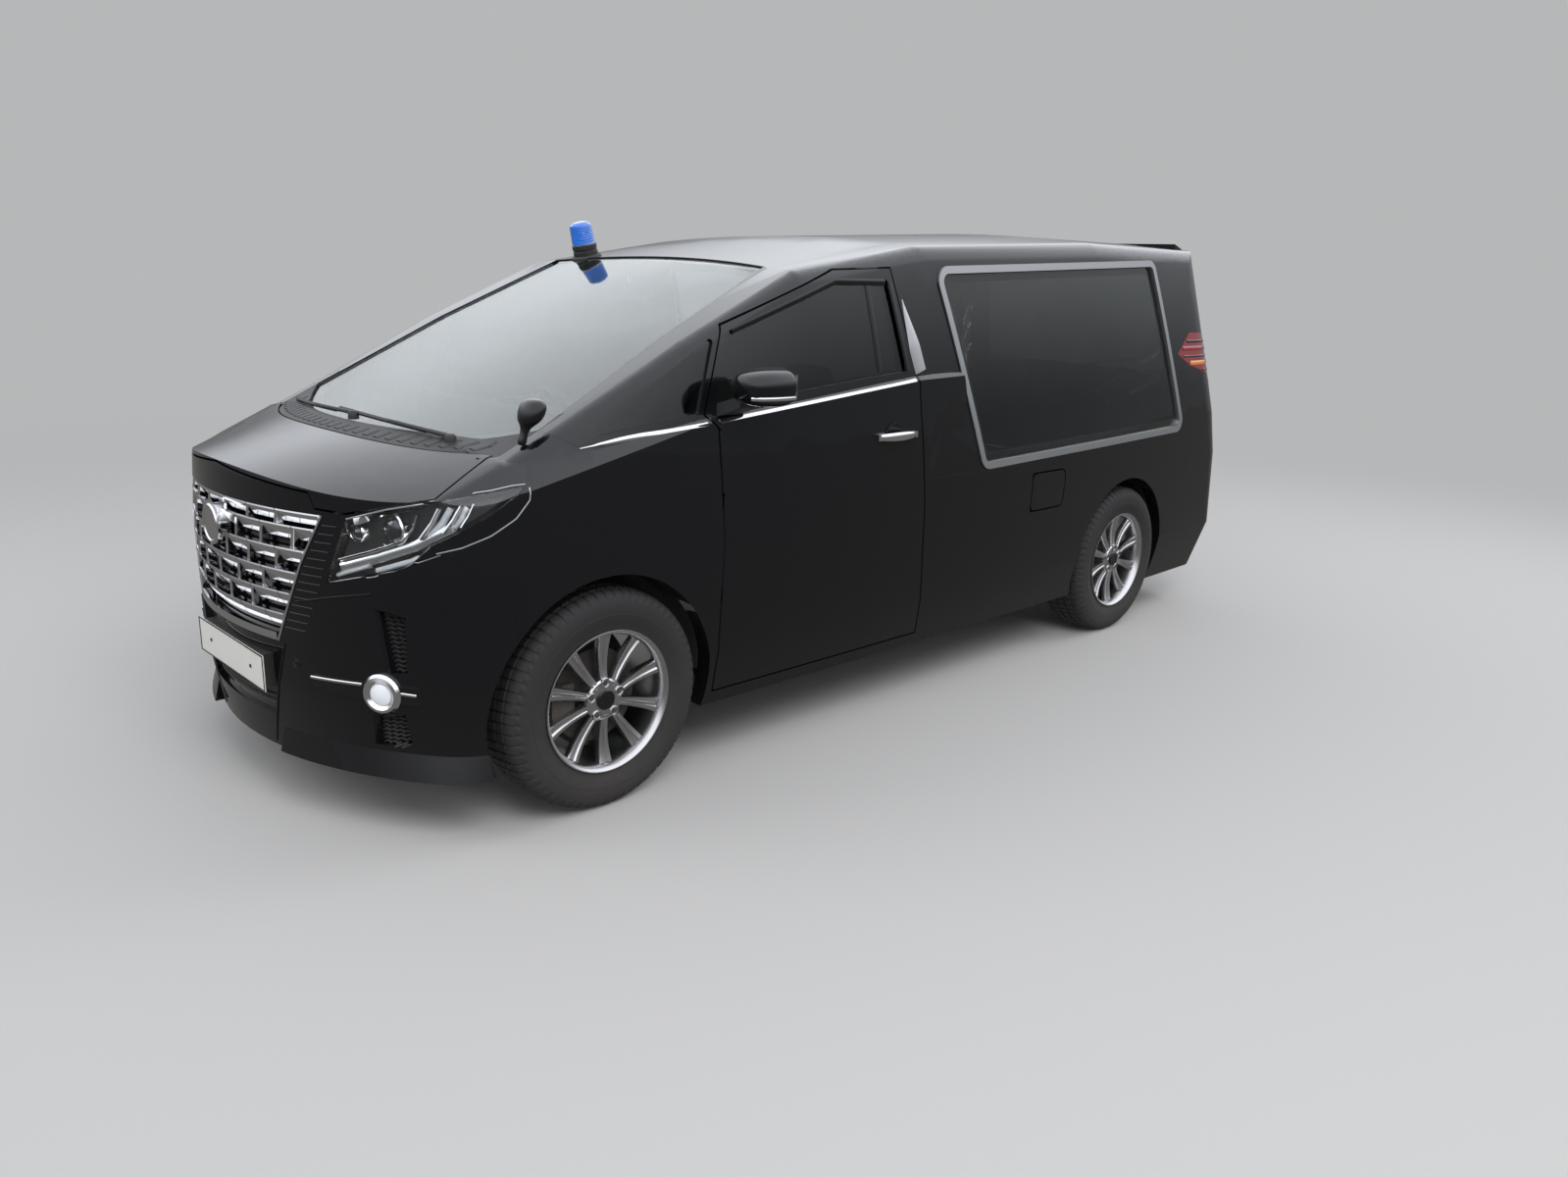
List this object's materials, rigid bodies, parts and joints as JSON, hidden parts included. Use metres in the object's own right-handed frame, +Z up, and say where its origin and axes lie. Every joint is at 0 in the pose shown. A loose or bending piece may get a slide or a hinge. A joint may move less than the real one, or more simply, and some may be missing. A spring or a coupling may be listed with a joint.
{
  "type": "hearse",
  "caption": "Black hearse on a tall people-carrier body, with a long load window in each side, opening doors, bonnet and tailgate, and steered spoked wheels.",
  "frame": {"origin": "on the ground, at the middle of the overall length and width", "axes": "+X forward to the nose, +Y to the vehicle's left, +Z up"},
  "size_m": [4.867, 2.164, 1.8441],
  "materials": {
    "alloy": "satin",
    "beacon_blue": "gloss",
    "bumper_black": "gloss",
    "chrome": "polished",
    "frame_silver": "satin",
    "glass_clear": "gloss",
    "glass_dark": "gloss",
    "lamp_clear": "gloss",
    "lamp_red": "gloss",
    "paint_black": "gloss",
    "plastic_black": "matte",
    "rubber": "matte",
    "seat_fabric": "matte",
    "steel_dark": "matte"
  },
  "bodies": {
    "body": {"arch_liners": "plastic_black", "beacon": "beacon_blue", "cowl": "plastic_black", "dashboard": "plastic_black", "engine": "steel_dark", "exhaust": "steel_dark", "floor_pan": "steel_dark", "fog_lamps": "chrome", "front_bumper": "bumper_black", "front_seats": "seat_fabric", "front_subframe": "steel_dark", "front_wings": "paint_black", "fuel_tank": "plastic_black", "grille": "bumper_black", "grille_bars": "chrome", "headlamps": "lamp_clear", "hinges": "steel_dark", "load_deck": "plastic_black", "load_window_frames": "frame_silver", "load_windows": "glass_clear", "quarter_glass": "glass_dark", "rear_axle": "steel_dark", "rear_bumper": "bumper_black", "roof": "paint_black", "side_left": "paint_black", "side_right": "paint_black", "tail_lamps": "lamp_red", "windscreen": "glass_clear", "wing_mirror": "bumper_black", "wipers": "plastic_black"},
    "bonnet": {"bonnet": "paint_black"},
    "tailgate": {"tailgate": "paint_black", "tailgate_glass": "glass_dark"},
    "door_left": {"door_left": "paint_black", "door_glass_left": "glass_dark", "mirror_left": "bumper_black", "door_handle_left": "chrome"},
    "door_right": {"door_right": "paint_black", "door_glass_right": "glass_dark", "mirror_right": "bumper_black", "door_handle_right": "chrome"},
    "fuel_flap": {"fuel_flap": "paint_black"},
    "knuckle_left": {"knuckle_left": "steel_dark"},
    "knuckle_right": {"knuckle_right": "steel_dark"},
    "wheel_front_left": {"tyre_front_left": "rubber", "rim_front_left": "alloy"},
    "wheel_front_right": {"tyre_front_right": "rubber", "rim_front_right": "alloy"},
    "wheel_rear_left": {"tyre_rear_left": "rubber", "rim_rear_left": "alloy"},
    "wheel_rear_right": {"tyre_rear_right": "rubber", "rim_rear_right": "alloy"},
    "steering_wheel": {"steering_wheel": "plastic_black"}
  },
  "joints": [
    {"name": "steer_left", "type": "hinge", "parent": "body", "child": "knuckle_left", "pos_m": [1.6, 0.735, 0.351], "axis": [0, 0, 1], "range_deg": [-35, 35]},
    {"name": "steer_right", "type": "hinge", "parent": "body", "child": "knuckle_right", "pos_m": [1.6, -0.735, 0.351], "axis": [0, 0, 1], "range_deg": [-35, 35]},
    {"name": "steering_wheel_turn", "type": "hinge", "parent": "body", "child": "steering_wheel", "pos_m": [0.9, -0.37, 0.985], "axis": [-0.9063, 0, 0.4226], "range_deg": [-525, 525]},
    {"name": "spin_front_left", "type": "hinge", "parent": "knuckle_left", "child": "wheel_front_left", "pos_m": [1.6, 0.79, 0.351], "axis": [0, 1, 0], "continuous": true},
    {"name": "spin_front_right", "type": "hinge", "parent": "knuckle_right", "child": "wheel_front_right", "pos_m": [1.6, -0.79, 0.351], "axis": [0, 1, 0], "continuous": true},
    {"name": "spin_rear_left", "type": "hinge", "parent": "body", "child": "wheel_rear_left", "pos_m": [-1.4, 0.79, 0.351], "axis": [0, 1, 0], "continuous": true},
    {"name": "spin_rear_right", "type": "hinge", "parent": "body", "child": "wheel_rear_right", "pos_m": [-1.4, -0.79, 0.351], "axis": [0, 1, 0], "continuous": true},
    {"name": "door_left_hinge", "type": "hinge", "parent": "body", "child": "door_left", "pos_m": [1.13, 0.88, 0.775], "axis": [0, 0, -1], "range_deg": [0, 65]},
    {"name": "door_right_hinge", "type": "hinge", "parent": "body", "child": "door_right", "pos_m": [1.13, -0.88, 0.775], "axis": [0, 0, 1], "range_deg": [0, 65]},
    {"name": "tailgate_hinge", "type": "hinge", "parent": "body", "child": "tailgate", "pos_m": [-2.14, 0, 1.815], "axis": [0, 1, 0], "range_deg": [0, 80]},
    {"name": "bonnet_hinge", "type": "hinge", "parent": "body", "child": "bonnet", "pos_m": [1.915, 0, 1.095], "axis": [0, -1, 0], "range_deg": [0, 50]},
    {"name": "fuel_flap_hinge", "type": "hinge", "parent": "body", "child": "fuel_flap", "pos_m": [-0.578, 0.912, 0.7715], "axis": [0, 0, -1], "range_deg": [0, 90]}
  ],
  "couplings": [
    {"joint": "steer_right", "follows": "steer_left", "ratio": 1},
    {"joint": "steering_wheel_turn", "follows": "steer_left", "ratio": 15}
  ]
}
